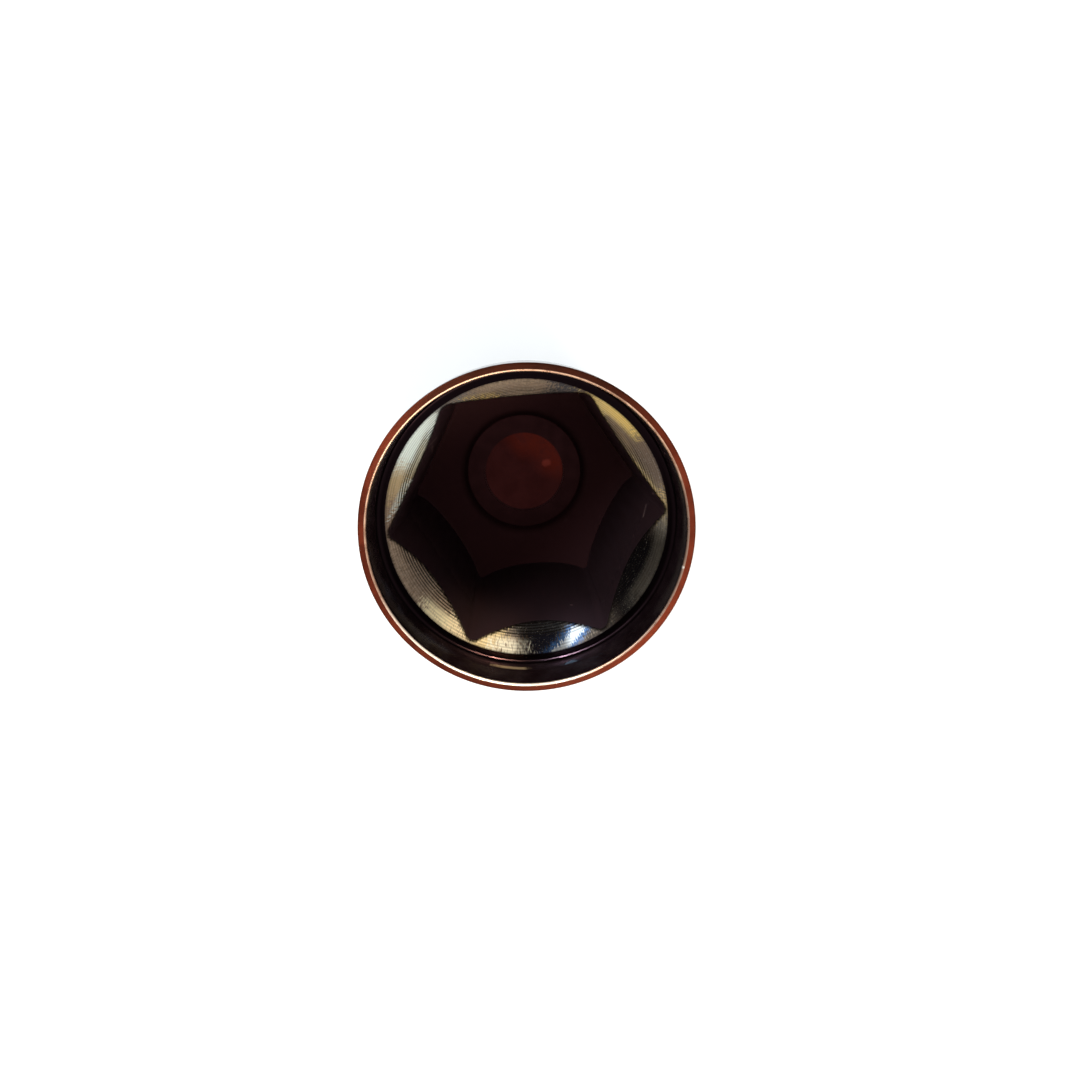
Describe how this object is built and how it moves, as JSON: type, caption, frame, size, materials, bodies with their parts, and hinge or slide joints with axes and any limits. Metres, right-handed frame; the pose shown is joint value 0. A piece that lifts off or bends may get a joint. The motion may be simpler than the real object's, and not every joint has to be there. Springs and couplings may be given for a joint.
{
  "type": "wheel nut cap",
  "caption": "Push-on cap that covers a wheel nut: a hexagonal socket with a domed closed end and a round skirt.",
  "frame": {"origin": "centre of the flat closed end, which the cap stands on", "axes": "+Z along the axis, from the closed end to the open skirt; +X through one corner of the hexagonal socket"},
  "size_m": [0.0434, 0.0434, 0.0517],
  "materials": {
    "plating": "polished, near-black inside with a coppery rim"
  },
  "bodies": {
    "root": {"cap": "plating"}
  },
  "joints": []
}
